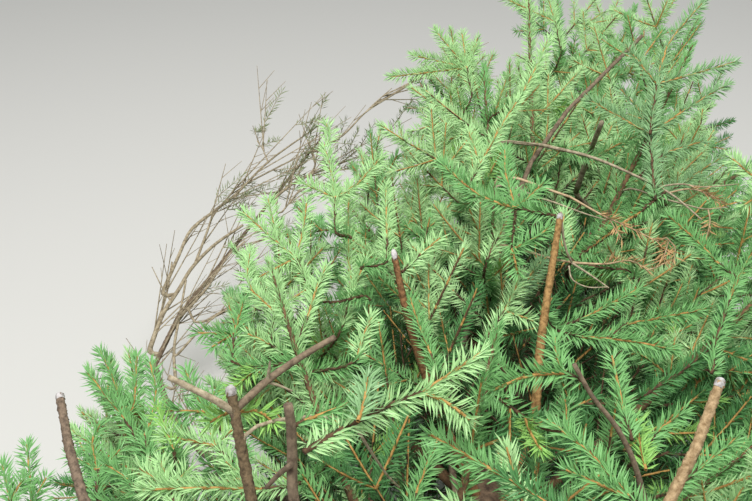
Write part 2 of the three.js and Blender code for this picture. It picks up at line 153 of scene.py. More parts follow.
# Colours as they look, from 0 to 255. Needles: colour, roughness and how densely they stand
NEEDLE_LOOKS = {
    # mint, green and deep: needle greens that tone_of deals out partly at random and partly as painted light
    # and shade by place
    "mint": ((172, 212, 146), 0.45, 1.0),
    "green": ((124, 178, 108), 0.45, 1.0),
    "pale": ((138, 178, 124), 0.45, 1.0),
    "deep": ((84, 138, 78), 0.5, 1.0),
    # dark: painted shade, for the needles deep inside the crown
    "dark": ((36, 72, 28), 0.6, 0.5),
    "fresh": ((144, 192, 100), 0.45, 1.0),
    "grey": ((136, 146, 106), 0.7, 0.35),
    "rust": ((190, 154, 108), 0.8, 0.5),
}

# Wood and bark: the dark and the light colour, the grain's scale, the roughness and the bump
BARK_LOOKS = {
    "twigs_new": ((150, 112, 58), (204, 160, 94), 260, 0.7, 0.0003),
    "twigs_old": ((60, 46, 36), (112, 86, 62), 240, 0.85, 0.0004),
    "twigs_dead": ((128, 114, 92), (190, 176, 148), 200, 0.95, 0.0004),
    "twigs_grey": ((92, 78, 64), (142, 124, 102), 200, 0.95, 0.0005),
    "twigs_rust": ((162, 136, 104), (206, 182, 146), 240, 0.9, 0.0003),
    "trunk_bark": ((66, 54, 44), (128, 106, 84), 90, 0.95, 0.0012),
    "bough_bark": ((74, 58, 44), (132, 102, 72), 240, 0.9, 0.0006),
    "cut_wood": ((196, 174, 132), (226, 210, 174), 160, 0.8, 0.0002),
    "resin": ((134, 128, 122), (208, 203, 200), 220, 0.5, 0.0004),
}
CLIPPED_COLOURS = [
    ((138, 112, 78), (200, 172, 132)),
    ((74, 62, 46), (134, 114, 86)),
    ((86, 74, 62), (144, 124, 104)),
    ((112, 84, 48), (182, 144, 92)),
    ((100, 72, 48), (166, 122, 82)),
]
CLIPPED_LOOK = (260, 0.9, 0.0007)

# The relief of bark: corners round the limb, how deep it goes and how long its scales are
TRUNK_RINGS, TRUNK_RELIEF = 420, (40, 0.0011, 0.02)
CLIPPED_STEP, CLIPPED_RELIEF = 0.0016, (14, 0.0009, 0.0045)
BOUGH_STEP, BOUGH_RELIEF = 0.006, (8, 0.0004, 0.012)
DEAD_STEP, DEAD_RELIEF = 0.004, (9, 0.0005, 0.014)
TRUNK_SEED, DEAD_SEEDS = 3, (61, 62)

# How far one clipped end slants, and how far the resin on the ends keeps inside the limb's own radius
SLANT = 1.5
CAP_INSET = 0.0009
CAP_SIDES = 18

# The camera, in the tree's frame
PICTURE = (752, 501)
LENS_MM, SENSOR_MM = 50.0, 36.0
CAMERA_AT = np.array([0.130, -0.100, 1.030])
CAMERA_HEADING, CAMERA_PITCH = 16.0, 30.0
# What counts as seen: columns and rows a little past the picture's edges, depths, and a least height
SEEN_SPACE = ((-60, 812), (-80, 560), (0.3, 2.0))
SEEN_ABOVE = 0.16

# The light, the sky and the floor
LIGHT_AT, LIGHT_AIM = (0.1, -1.1, 3.4), (0, 0, 0.2)
LIGHT_SIZE, LIGHT_POWER = 2.4, 134
SKY_COLOUR, SKY_STRENGTH = (0.93, 0.97, 1.0, 1), 0.43
FLOOR_COLOUR, FLOOR_HALF = (214, 212, 206), 8

# Wood that stands out in the picture: kind, radii in tenths of a millimetre, depths from the camera at both
# ends, and the places it passes through. Places are in pixels from the picture's upper left corner, a
# column and a row at a time.
SEEN_WOOD = [
    ("grey", (31, 21), (0.70, 0.74), (233, 412, 247, 399, 268, 380, 301, 357, 335, 337)),
    ("dead", (28, 20), (0.70, 0.69), (233, 412, 222, 404, 195, 390, 168, 377)),
    ("dead", (16, 7), (0.72, 0.71), (267, 382, 269, 371, 270, 361)),
    ("dead", (14, 7), (0.72, 0.73), (267, 382, 280, 386, 292, 391)),
    ("grey", (42, 34), (0.69, 0.66), (306, 530, 294, 500, 292, 450, 291, 425, 288, 405)),
    ("dead", (15, 10), (0.72, 0.80), (352, 420, 366, 444, 378, 462, 388, 476, 399, 487)),
    ("grey", (22, 15), (0.67, 0.69), (292, 464, 279, 474, 266, 488)),
    ("dead", (23, 9), (1.28, 1.14), (541, 145, 591, 157, 636, 176, 671, 194, 702, 220)),
    ("dead", (13, 6), (1.28, 1.27), (541, 145, 520, 142, 501, 141)),
    ("dead", (13, 6), (1.20, 1.19), (658, 187, 680, 184, 702, 187, 738, 184)),
    ("rust", (12, 6), (1.19, 1.18), (668, 193, 690, 189, 712, 196, 724, 204)),
    ("rust", (10, 5), (1.195, 1.18), (689, 185, 703, 192, 717, 202)),
    ("dead", (11, 5), (1.18, 1.17), (680, 203, 705, 209, 728, 207)),
    ("rust", (11, 6), (1.175, 1.165), (708, 209, 710, 221, 707, 236)),
    ("old", (29, 21), (1.128, 1.223), (575, 259, 606, 236, 640, 212, 656, 192, 652, 164, 650, 134)),
    ("rust", (16, 7), (1.12, 1.10), (570, 197, 600, 214, 628, 227, 659, 242)),
    ("dead", (12, 6), (1.12, 1.10), (556, 203, 583, 213, 606, 220)),
    ("rust", (15, 6), (1.06, 1.05), (577, 263, 605, 264, 632, 261, 647, 270)),
    ("dead", (15, 7), (1.05, 1.02), (572, 263, 592, 276, 609, 288)),
    ("rust", (10, 5), (1.10, 1.09), (657, 241, 668, 238, 666, 250, 662, 263)),
    ("rust", (9, 5), (1.095, 1.085), (668, 239, 675, 248, 673, 264)),
    ("rust", (9, 5), (1.05, 1.045), (647, 270, 657, 267, 667, 262)),
    ("rust", (9, 5), (1.11, 1.10), (610, 220, 616, 230, 622, 239)),
    ("dead", (10, 6), (1.05, 1.02), (569, 266, 572, 279, 587, 287, 608, 287)),
    ("dead", (38, 30), (1.40, 1.25), (576, 192, 587, 160, 594, 142, 602, 122)),
    ("grey", (26, 18), (0.80, 0.76), (652, 535, 642, 490, 631, 455, 615, 425, 592, 396, 574, 364)),
]

# Fans of shoots that stand out: tone, depth at the root, the stem's places and where each shoot ends
SEEN_FANS = [
    ("pale", 1.17, (655, 200, 650, 134), [(589, 100), (700, 100, 728, 84), (652, 100, 655, 80)]),
    ("pale", 1.21, (650, 134, 657, 84), [(668, 45, 705, 0), (625, 45), (700, 72, 735, 62)]),
    ("mint", 1.16, (466, 190, 480, 164), [(500, 128, 519, 98), (468, 130)]),
    ("mint", 1.28, (519, 98), [(535, 70, 549, 38)]),
    ("mint", 1.10, (341, 330, 352, 294), [(348, 250, 349, 184), (366, 258)]),
    ("mint", 1.12, (335, 232, 335, 198), [(331, 170, 324, 147), (302, 183), (356, 185, 382, 156)]),
    ("mint", 1.20, (324, 147), [(330, 136, 326, 124)]),
    ("mint", 1.08, (316, 300, 296, 258), [(270, 236, 243, 212), (302, 235, 307, 200), (259, 277)]),
    ("mint", 1.04, (272, 342, 274, 311), [(248, 284, 250, 250), (307, 289), (277, 281)]),
    ("mint", 1.02, (296, 345, 308, 317), [(316, 290, 326, 266)]),
    ("green", 1.00, (232, 362, 234, 334), [(198, 333), (244, 299), (212, 347)]),
    ("mint", 1.00, (288, 356, 270, 344), [(248, 334)]),
    ("mint", 1.14, (277, 240, 273, 224), [(268, 199)]),
    ("mint", 1.12, (387, 262, 387, 238), [(386, 184)]),
    ("green", 0.94, (152, 470, 137, 440, 125, 419), [(116, 385, 100, 351), (131, 414, 137, 356), (88, 373)]),
    ("green", 0.93, (152, 470, 145, 436), [(156, 399, 150, 362)]),
    ("green", 0.88, (186, 492, 179, 468), [(181, 425)]),
    ("green", 0.86, (140, 494, 128, 480), [(106, 464)]),
    ("fresh", 0.85, (174, 450), [(165, 428, 158, 408)]),
    ("green", 0.95, (36, 545, 32, 505), [(27, 444), (46, 478)]),
    ("mint", 0.66, (304, 452, 327, 438, 356, 422, 390, 405, 422, 392),
     [(450, 374, 482, 352), (446, 402, 470, 420)]),
    ("green", 0.765, (584, 381, 565, 373), [(528, 376, 493, 390), (557, 356, 555, 338)]),
    ("fresh", 0.79, (646, 470), [(640, 444, 636, 418)]),
    ("pale", 0.665, (358, 421), [(365, 398, 367, 376)]),
    ("green", 0.67, (291, 428, 304, 421), [(330, 411, 352, 402)]),
    ("deep", 0.64, (592, 530, 562, 512), [(537, 497, 505, 477)]),
    ("green", 0.682, (505, 477), [(468, 456, 429, 434)]),
    ("green", 0.70, (660, 525, 629, 497), [(592, 455, 551, 422), (566, 470)]),
    ("deep", 0.98, (640, 398, 680, 372, 714, 347), [(729, 300), (752, 362)]),
    ("deep", 1.02, (541, 355, 541, 327), [(552, 298), (503, 336)]),
    ("green", 1.02, (556, 330, 582, 337), [(630, 341, 675, 350)]),
    ("green", 1.04, (610, 336, 627, 324), [(665, 317, 706, 309)]),
    ("green", 1.00, (436, 375, 431, 354), [(418, 322, 410, 298)]),
    ("green", 0.80, (405, 525, 416, 494), [(427, 465, 437, 441)]),
    ("green", 0.86, (645, 450, 656, 432), [(684, 411)]),
    ("green", 0.84, (672, 492, 700, 468), [(738, 437)]),
    ("green", 1.04, (556, 216, 516, 208), [(500, 204, 479, 195, 440, 162), (506, 176, 505, 150), (544, 183)]),
    ("mint", 1.05, (486, 262, 497, 238), [(510, 217)]),
    ("green", 0.985, (714, 347, 729, 300), [(740, 274, 757, 244)]),
    ("green", 1.040, (737, 278, 719, 264), [(697, 241, 669, 216)]),
    ("pale", 1.22, (640, 176, 665, 153), [(703, 141)]),
    ("pale", 1.26, (660, 197, 681, 185), [(705, 168, 725, 155)]),
    ("green", 1.18, (665, 192, 640, 212), [(606, 236, 575, 259)]),
    ("mint", 1.00, (800, 216, 768, 189), [(748, 172, 730, 157), (744, 205), (770, 150)]),
    ("mint", 1.52, (472, 96, 467, 68), [(435, 30), (462, 33), (477, 44), (412, 55), (390, 77)]),
    ("mint", 1.62, (562, 52, 555, 22), [(500, -4), (545, -12)]),
    ("green", 1.31, (566, 151, 594, 158), [(615, 146, 636, 136)]),
    ("mint", 0.82, (292, 486, 262, 489), [(200, 488, 143, 490), (226, 462), (236, 478)]),
    ("mint", 0.84, (232, 462, 215, 446), [(188, 440, 164, 436), (206, 418), (232, 430)]),
    ("green", 0.86, (222, 430, 208, 412), [(192, 388, 186, 370), (170, 410), (214, 392)]),
    ("fresh", 0.715, (238, 412), [(258, 411, 274, 423)]),
    ("fresh", 0.71, (229, 412), [(210, 422)]),
    ("mint", 0.80, (180, 520, 170, 490), [(160, 460), (140, 468), (190, 468)]),
    ("green", 0.90, (96, 500, 98, 470), [(92, 440, 100, 425), (70, 455), (120, 450)]),
    ("green", 0.92, (20, 530, 10, 500), [(2, 465), (24, 478)]),
    ("mint", 0.88, (150, 520, 152, 500), [(120, 492), (150, 480)]),
    ("green", 0.92, (250, 520, 236, 480), [(222, 446), (204, 462), (246, 448), (196, 484)]),
    ("pale", 1.24, (650, 122), [(620, 88), (627, 114)]),
    ("green", 1.02, (541, 334, 584, 318), [(614, 302, 640, 288)]),
    ("mint", 1.00, (485, 340, 505, 311), [(513, 294, 521, 273), (534, 321)]),
    ("green", 1.048, (516, 208, 512, 249), [(518, 274), (528, 242, 549, 228)]),
    ("pale", 1.06, (520, 290), [(533, 272, 547, 256)]),
    ("mint", 1.07, (561, 252), [(564, 214)]),
    ("green", 0.80, (632, 440, 624, 412), [(612, 356)]),
    ("green", 0.80, (568, 432), [(565, 400)]),
    ("green", 1.03, (664, 372), [(650, 360, 630, 349)]),
    ("mint", 1.05, (402, 272, 420, 255), [(440, 238)]),
    ("mint", 0.98, (357, 360), [(363, 337, 372, 316)]),
]
SEEN_SLOPE = 0.0008

# The dry strands along the dead limb: radii in tenths of a millimetre, and the places from root to tip
DEAD_STRANDS = [
    ((42, 20), (150, 348, 163, 314, 179, 289, 191, 269, 213, 246, 243, 225)),
    ((34, 10), (163, 291, 179, 255, 191, 230, 213, 212, 236, 194, 268, 162, 318, 126)),
    ((26, 10), (195, 264, 207, 232, 213, 216, 231, 194, 245, 178)),
    ((26, 12), (181, 316, 206, 289, 220, 268, 229, 255, 245, 241)),
    ((20, 10), (206, 321, 227, 308, 243, 298)),
    ((24, 12), (277, 196, 291, 185, 307, 176, 315, 166, 309, 142)),
    ((18, 10), (289, 184, 295, 166, 306, 146)),
    ((16, 8), (282, 212, 299, 191)),
    ((14, 6), (170, 300, 163, 289, 152, 267)),
    ((26, 16), (176, 385, 174, 350, 180, 314, 186, 280)),
    ((22, 14), (148, 352, 157, 324, 166, 296, 172, 262)),
    ((22, 10), (178, 354, 206, 324, 234, 303)),
    ((20, 8), (318, 150, 343, 135, 366, 112, 388, 98, 408, 86)),
    ((14, 6), (268, 162, 262, 148, 257, 141)),
    ((13, 6), (366, 112, 374, 104, 392, 88)),
]
STRAND_DEPTH, STRAND_SLOPE, STRAND_ROW = 1.55, 0.00094, 357

# The crown's left edge in the picture: the ground is open to the left of it
EDGE_ROWS = (0, 30, 70, 124, 160, 208, 250, 300, 338, 350, 400, 440, 470)
EDGE_COLUMNS = (470, 425, 385, 318, 300, 236, 226, 222, 190, 92, 72, 12, -80)
EDGE_END = 480
# The open ground to the right of the crown, from these columns to just past the frame
GAP_ROWS = (-5, 40, 62, 90, 110, 128, 140)
GAP_COLUMNS = (712, 712, 742, 732, 706, 712, 745)
GAP_END = 775

UP = np.array([0.0, 0.0, 1.0])
AXIS = np.array([0.0, 1.0, 0.0])
rng = np.random.default_rng(20)
Bough = namedtuple("Bough", "name station azimuth path key clipped bare", defaults=(False, False))


def mix(a, b, share):
    return a + (b - a) * share


def clamp(value, low=0.0, high=1.0):
    return min(max(value, low), high)


def unit(v):
    v = np.asarray(v, float)
    return v / np.linalg.norm(v, axis=-1, keepdims=True)


def turned(v, axis, degrees):
    """v turned round an axis."""
    angle = math.radians(degrees)
    axis = unit(axis)
    return (v * math.cos(angle) + np.cross(axis, v) * math.sin(angle)
            + axis * np.dot(axis, v) * (1 - math.cos(angle)))


def chance(*keys):
    """The source's number from 0 to 1 that depends only on where in the tree it is used."""
    turn = 1.37 + sum(key * factor for key, factor in zip(keys, (12.9898, 78.233, 37.719, 4.581)))
    value = math.sin(turn) * 43758.5453
    return value - math.floor(value)


def trunk_point(station):
    share = station / TREE_LENGTH
    arch = math.sin(math.pi * share)
    height = mix(BUTT_HEIGHT, TIP_HEIGHT, share) + TRUNK_ARCH * arch
    return np.array([TRUNK_BOW * arch, station, height])


def trunk_radius(station):
    share = clamp(station / TRUNK_END)
    return mix(BUTT_RADIUS, LEADER_RADIUS, share ** 0.9) + BUTT_SWELL * math.exp(-station / 0.07)


def radial_of(azimuth):
    return np.array([math.cos(math.radians(azimuth)), 0.0, math.sin(math.radians(azimuth))])


def crown_radius(station):
    share = (station - FIRST_WHORL) / (TREE_LENGTH - FIRST_WHORL)
    return CROWN_RADIUS * (1 - share) ** CROWN_POWER


def bough_path(station, azimuth, share):
    """The source's rule for the centre line of a bough that reaches a share of the way out."""
    radial = radial_of(azimuth)
    rise = mix(RISE_LOW, RISE_HIGH, station / TREE_LENGTH)
    length = share * crown_radius(station) / math.cos(math.radians(rise + RISE_GAIN / 2))
    at = trunk_point(station)
    points = [at]
    for i in range(LIMB_STEPS):
        along = (i + 0.5) / LIMB_STEPS
        angle = math.radians(rise + RISE_GAIN * along)
        way = radial * math.cos(angle) + AXIS * math.sin(angle)
        way[2] -= SAG * along * (1 - max(0.0, math.sin(math.radians(azimuth))))
        if way[2] < 0:
            way[2] *= clamp((at[2] - GROUND_CLEAR) / GROUND_REACH)
        at = at + unit(way) * length / LIMB_STEPS
        points.append(at)
    return np.array(points)


def along_route(points, steps):
    """A centripetal curve through the points, cut into equal steps."""
    pts = [np.array(p, float) for p in points]
    pts = [2 * pts[0] - pts[1]] + pts + [2 * pts[-1] - pts[-2]]
    fine = []
    share = np.linspace(0, 1, CURVE_STEPS)[:, None]
    for p0, p1, p2, p3 in zip(pts, pts[1:], pts[2:], pts[3:]):
        d0, d1, d2 = (math.sqrt(np.linalg.norm(b - a)) for a, b in ((p0, p1), (p1, p2), (p2, p3)))
        t1 = ((p1 - p0) / d0 - (p2 - p0) / (d0 + d1) + (p2 - p1) / d1) * d1
        t2 = ((p2 - p1) / d1 - (p3 - p1) / (d1 + d2) + (p3 - p2) / d2) * d1
        fine.append(p1 + t1 * share + (3 * (p2 - p1) - 2 * t1 - t2) * share ** 2
                    + (2 * (p1 - p2) + t1 + t2) * share ** 3)
    return resampled(np.concatenate(fine), steps)


def run_along(path):
    """How far along a path each of its points lies."""
    return np.concatenate([[0], np.cumsum(np.linalg.norm(np.diff(path, axis=0), axis=1))])


def resampled(path, steps):
    run = run_along(path)
    places = np.linspace(0, run[-1], steps + 1)
    return np.stack([np.interp(places, run, path[:, k]) for k in range(3)], axis=1)


def length_of(path):
    return float(np.linalg.norm(np.diff(path, axis=0), axis=1).sum())


def point_on(path, share):
    place = clamp(share) * (len(path) - 1)
    i = min(int(place), len(path) - 2)
    return mix(path[i], path[i + 1], place - i)


def way_on(path, share):
    return unit(point_on(path, share + 0.02) - point_on(path, share - 0.02))


def end_of(path, start, count):
    """The last part of a path, from a share of it on."""
    return np.array([point_on(path, mix(start, 1, s)) for s in np.linspace(0, 1, count)])


def list_boughs():
    listed = []
    for name, station, route in CLIPPED:
        start = trunk_point(station)
        path = along_route([start, *route], LIMB_STEPS)
        out = path[LIMB_STEPS // 2] - start
        azimuth = math.degrees(math.atan2(out[2], out[0]))
        listed.append(Bough(name, station, azimuth, path, len(listed) + 1, True, True))
    for w, (station, bare, sides) in enumerate(WHORLS):
        for j, (azimuth, share) in enumerate(sides):
            path = bough_path(station, azimuth, share)
            listed.append(Bough(f"{w + 1}_{j + 1}", station, azimuth, path, len(listed) + 1, False, bare))
    return listed


def wood_radius(bough, share):
    root = mix(BOUGH_RADIUS_LOW, BOUGH_RADIUS_HIGH, bough.station / TREE_LENGTH)
    return mix(root, root * CLIPPED_TAPER if bough.clipped else BOUGH_END_RADIUS, share)


boughs = list_boughs()
dead_limb = along_route([trunk_point(DEAD_FROM), *DEAD_LIMB], 12)
dead_stick = along_route([trunk_point(DEAD_FROM), *DEAD_STICK], 8)

# Where the tree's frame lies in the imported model: the butt's ring of corners fixes it
trunk_low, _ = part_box("trunk")
corner = (BUTT_RADIUS + BUTT_SWELL) * math.cos(math.pi / BUTT_CORNERS)
SHIFT = np.array([trunk_low.x + corner, trunk_low.y, trunk_low.z + corner - BUTT_HEIGHT])

# The straight pieces of all the limbs, and which limb each belongs to
all_paths = [bough.path for bough in boughs] + [dead_limb, dead_stick]
piece_from = np.concatenate([path[:-1] for path in all_paths])
piece_way = np.concatenate([np.diff(path, axis=0) for path in all_paths])
piece_owner = np.concatenate([np.full(len(path) - 1, k) for k, path in enumerate(all_paths)])
piece_square = (piece_way ** 2).sum(axis=1)


def is_own(points, owner):
    """Whether the points are clear of the trunk, and nearer to their own bough than to any other limb, give
    or take some slack."""
    gap = points[:, None, :] - piece_from[None]
    share = np.clip((gap * piece_way).sum(axis=2) / piece_square, 0, 1)
    far = np.linalg.norm(gap - share[..., None] * piece_way, axis=2)
    mine = piece_owner == owner
    near = far[:, mine].min(axis=1) < far[:, ~mine].min(axis=1) + OWN_SLACK
    off_trunk = all(np.linalg.norm((p - trunk_point(clamp(p[1], 0, TREE_LENGTH)))[[0, 2]])
                    > trunk_radius(p[1]) + TRUNK_GAP for p in points)
    return off_trunk and bool(near.all())


# The camera's directions, and where a point shows in the picture
heading, pitch = math.radians(CAMERA_HEADING), math.radians(CAMERA_PITCH)
LOOK = np.array([-math.sin(heading) * math.cos(pitch), math.cos(heading) * math.cos(pitch),
                 -math.sin(pitch)])
RIGHT = np.array([math.cos(heading), math.sin(heading), 0.0])
OVER = np.cross(RIGHT, LOOK)
FOCAL = PICTURE[0] * LENS_MM / SENSOR_MM
MIDDLE_U, MIDDLE_V = PICTURE[0] / 2, PICTURE[1] / 2


def seen_at(u, v, depth):
    """The point in the tree's frame that shows at a place in the picture, at a depth."""
    return CAMERA_AT + depth * (LOOK + (u - MIDDLE_U) / FOCAL * RIGHT + (MIDDLE_V - v) / FOCAL * OVER)


def picture_places(points):
    """Where points show in the picture, and how deep they lie."""
    gap = np.atleast_2d(points) - CAMERA_AT
    depth = np.maximum(gap @ LOOK, 0.01)
    return MIDDLE_U + FOCAL * (gap @ RIGHT) / depth, MIDDLE_V - FOCAL * (gap @ OVER) / depth, depth


def in_picture(point):
    places = [x[0] for x in picture_places(point)]
    return point[2] > SEEN_ABOVE and all(low < x < high for x, (low, high) in zip(places, SEEN_SPACE))


def pairs(places):
    """The picture's places, which are written one after another, as pairs of a column and a row."""
    return list(zip(places[::2], places[1::2]))


# What has been grown: limbs of wood by kind, and shoots that carry needles by tone
wood = {kind: [] for kind in ("new", "old", "dead", "grey", "rust")}
shoots = {tone: [] for tone in NEEDLE_LOOKS}
kept_clear = []


def add_wood(kind, path, base, end, sides):
    wood[kind].append((path, np.linspace(base, end, len(path)), sides))


def places_along(path, step):
    return picture_places(resampled(path, max(2, int(length_of(path) / step))))


def keep_clear(path):
    """Remember where a twig shows, so that nothing is grown in front of it."""
    kept_clear.append(np.stack(places_along(path, 0.008), axis=1))


def hides_a_kept_twig(path, clear):
    u, v, depth = places_along(path, 0.012)
    near = np.hypot(u[:, None] - kept[:, 0], v[:, None] - kept[:, 1]) < clear * FOCAL / depth[:, None]
    return bool((near & (depth[:, None] < kept[:, 2] - 0.003)).any())


def outside(path):
    """Whether a twig would reach out of the space that the source's solids take up, or over the open
    ground on either side of the crown."""
    low, high = np.array(cad_bounds[0]) - SHIFT, np.array(cad_bounds[1]) - SHIFT
    if (path < low - 0.004).any() or (path > high - 0.004).any():
        return True
    u, v, _ = picture_places(path)
    on_left = (u < np.interp(v, EDGE_ROWS, EDGE_COLUMNS)) & (v < EDGE_END)
    on_right = (u > np.interp(v, GAP_ROWS, GAP_COLUMNS)) & (u < GAP_END)
    return bool((on_left | on_right & (GAP_ROWS[0] < v) & (v < GAP_ROWS[-1])).any())


def curved(root, way, towards, length, steps=4):
    """A twig that starts along one direction and bends towards another."""
    points = [root]
    for i in range(steps):
        step = unit(mix(way, towards, 0.5 * (i + 0.5) / steps))
        at = points[-1] + step * length / steps
        at[2] = max(at[2], LOWEST + 0.004)
        points.append(at)
    return np.array(points)


def is_inner(point, share=INNER_SHARE):
    """Whether a point lies deep inside the crown, where little light comes."""
    middle = trunk_point(clamp(point[1] - 0.1, 0.0, TRUNK_END))
    reach = crown_radius(clamp(point[1] - 0.12, FIRST_WHORL, TRUNK_END))
    return math.hypot(point[0] - middle[0], point[2] - middle[2]) < share * reach


def tone_of(root, key):
    """The needles' tone is dealt out by spray, by chance and as painted light and shade by place: lighter up,
    to the left and further along the tree, deeper low down, to the right, in the shade and in the shaded
    hollow near the butt, and dark with painted shade inside the crown."""
    # Sprays deep inside the crown take the dark tone: painted shade
    if is_inner(root):
        return "dark"
    # The terms for height, side, distance along the tree, shade and the hollow paint light and shade; the
    # chance is the needles' own variation
    pick = (chance(key, 3.1, root[0] * 7) + HEIGHT_LIGHT_GAIN * (root[2] - MIDDLE_HEIGHT)
            - RIGHT_SHADE_LOSS * (root[0] - MIDDLE_ACROSS))
    pick += clamp(root[1] - FURTHER_FROM, 0.0, FURTHER_MOST)
    if root[0] < LEFT_OF and root[2] > MIDDLE_HEIGHT:
        pick += LEFT_LIGHT_GAIN
    if is_inner(root, SHADED_SHARE):
        pick -= SHADED_LOSS
    if math.hypot(root[0] - SHADED_HOLLOW_AT[0], root[1] - SHADED_HOLLOW_AT[1]) < SHADED_HOLLOW_REACH:
        pick -= HOLLOW_SHADE_LOSS
    return "mint" if pick > MINT_OVER else "green" if pick > GREEN_OVER else "deep"


def shoot(path, tone, flat, young=True, sides=3):
    """One length of twig with needles on it."""
    base = SHOOT_RADIUS * (1 + 2.6 * length_of(path))
    # Young twigs with the dark tone take the old twigs' darker bark: painted shade
    add_wood("new" if young and tone != "dark" else "old", path, base, SHOOT_RADIUS * 0.75, sides)
    shoots[tone].append((path, flat))


def spray(root, way, flat, length, level, tone, key):
    """A twig with its needles and, at nodes counted from its tip, side twigs in the plane of the spray."""
    path = curved(root, way, unit(way + 0.5 * AXIS + 0.14 * UP), length)
    if outside(path) or hides_a_kept_twig(path, SPRAY_CLEAR):
        return
    if level > 2 and is_inner(path[2]) and chance(key, 4.9) > INNER_SHOOTS:
        return
    young = level >= 3 or length < 0.11
    shoot(path, "fresh" if level > 3 and chance(key, 8.8) > 0.8 else tone, flat, young)
    if not young:
        tip = end_of(path, 1 - min(0.085 / length, 0.6), 3)
        add_wood("new", tip, SHOOT_RADIUS * 1.2, SHOOT_RADIUS * 0.85, 3)
    if level > 3:
        return
    from_tip = NODE_SPACING[level] * mix(0.9, 1.15, chance(key, 5.5))
    row = 0
    while from_tip < length - 0.018:
        share = 1 - from_tip / length
        here, along = point_on(path, share), way_on(path, share)
        across = unit(np.cross(flat, along))
        for side in (1, -1):
            odd = chance(key, row + 0.7, side + 2.3)
            reach = (0.5 * from_tip + 0.030) * mix(0.75, 1.15, odd)
            if odd < 0.05 or reach < 0.022:
                continue
            out = turned(along, flat, side * mix(40, 58, chance(key, row + 0.2, side)))
            out = unit(out + flat * (odd - 0.4) * 0.5)
            spray(here, out, unit(flat + across * side * (odd - 0.5) * 0.6), reach, level + 1, tone,
                  key + 0.37 * side + 1.7 * row + 11 * level)
        if chance(key, row + 4.4) > 0.5:
            reach = mix(0.03, 0.06, chance(key, row + 9.1))
            lift = unit(along * 0.9 + flat * (1 if chance(key, row, 6.6) > 0.3 else -1) + across * 0.3)
            spray(here, lift, across, reach, 4, tone, key + 2.9 * row + 0.11)
        row += 1
        from_tip += NODE_SPACING[level] * mix(0.85, 1.15, chance(key, row, 1.9))


def clear_way(root, way, length):
    """A direction turned up until something that long stays clear of the ground."""
    lowest = (LOWEST + GROUND_GAP - root[2]) / length
    if way[2] >= lowest:
        return way
    lowest = clamp(lowest, -0.9, 0.9)
    return unit([way[0], way[1], 0.0]) * math.sqrt(1 - lowest * lowest) + UP * lowest


def grow(bough, owner):
    """The foliage of one bough: side sprays in pairs along its stem, and needles on the stem's young end."""
    path, key, length = bough.path, bough.key, length_of(bough.path)
    first = max((BARE_SHARE * 0.8 if bough.bare else 0.08) + 0.04, 0.055 / length)
    last = 1 - (CLIP_STUB if bough.clipped else 0.10) / length
    seen = in_picture(point_on(path, 0.5)) or in_picture(path[-1])
    pairs = max(2, round((last - first) * length / (PAIRS_SEEN if seen else PAIRS_UNSEEN)))
    tangent = np.cross(AXIS, radial_of(bough.azimuth))
    for i in range(pairs + 1):
        share = mix(first, last, i / pairs)
        here, way = point_on(path, share), way_on(path, share)
        over = np.cross(tangent, way)
        for side in (1, -1, 0):
            odd = chance(key, i, side + 2)
            reach = (0.46 * length * (1 - 0.7 * share) + 0.045) * mix(0.75, 1.1, chance(key, i, side + 9))
            if side:
                angle = math.radians(TWIG_ANGLE + 16 * (odd - 0.5))
                out = way * math.cos(angle) + tangent * side * math.sin(angle)
                out = unit(out + over * 0.6 * (chance(key, i, side + 5) - 0.4))
                flat = np.cross(out, tangent) if abs(out @ tangent) < 0.9 else over
                flat = turned(flat, out, 50 * (odd - 0.5))
            elif odd < 0.3:
                continue
            else:
                out = unit(way * 0.8 + over * (1 if odd > 0.5 else -1) * 0.6)
                flat, reach = tangent, reach * 0.55
            flat = unit(flat - out * (flat @ out))
            for shrink in SHRINKS:
                aimed = clear_way(here, unit(mix(out, way, 0.25 * (1 - shrink))), reach * shrink)
                ends = np.array([here + aimed * reach * shrink * s for s in (0.6, 1.0)])
                if owner is None or is_own(ends, owner):
                    tone = tone_of(ends[1], key + i * 0.3 + side * 0.2)
                    spray(here, aimed, flat, reach * shrink, 2, tone, key * 3.3 + i * 1.1 + side * 0.5)
                    break
    if not bough.clipped:
        run = end_of(path, max(first, 1 - 0.42 / length), 7)
        shoots[tone_of(path[-1], key)].append((run, np.cross(tangent, way_on(path, 0.9))))
        add_wood("new", end_of(path, 1 - 0.1 / length, 3), 0.0021, 0.0012, 4)


def list_fillers():
    """Small boughs between the whorls, each well inside the crown."""
    listed = []
    for group, (count, stations, azimuths, shares) in enumerate(FILLERS):
        for k in range(count):
            station = mix(*stations, (k + 0.8 * chance(k, 2.2, group)) / count)
            azimuth = mix(*azimuths, (k * 0.618 + 0.13) % 1)
            path = bough_path(station, azimuth, mix(*shares, chance(k, 7.7, group)))
            listed.append(Bough("filler", station, azimuth, path, 70 + k + 40 * group))
    return [filler for filler in listed if not outside(filler.path)]


fillers = list_fillers()


def carrier_of(point, onward):
    """The place on a living bough from which a twig comes up to the point from inside the crown, and then
    runs on along the given direction without a sharp turn."""
    back = unit(LOOK - 0.7 * onward)
    best = None
    for bough in boughs + fillers:
        fine = resampled(bough.path, 40)[4:]
        gap = fine - point
        behind = gap @ back
        beside = np.linalg.norm(gap - behind[:, None] * back, axis=1)
        cost = 2.2 * beside + np.where(behind > 0, behind, -4 * behind)
        k = int(cost.argmin())
        if best is None or cost[k] < best[0]:
            best = (cost[k], fine[k], unit(fine[k] - fine[k - 1]))
    return best[1:]


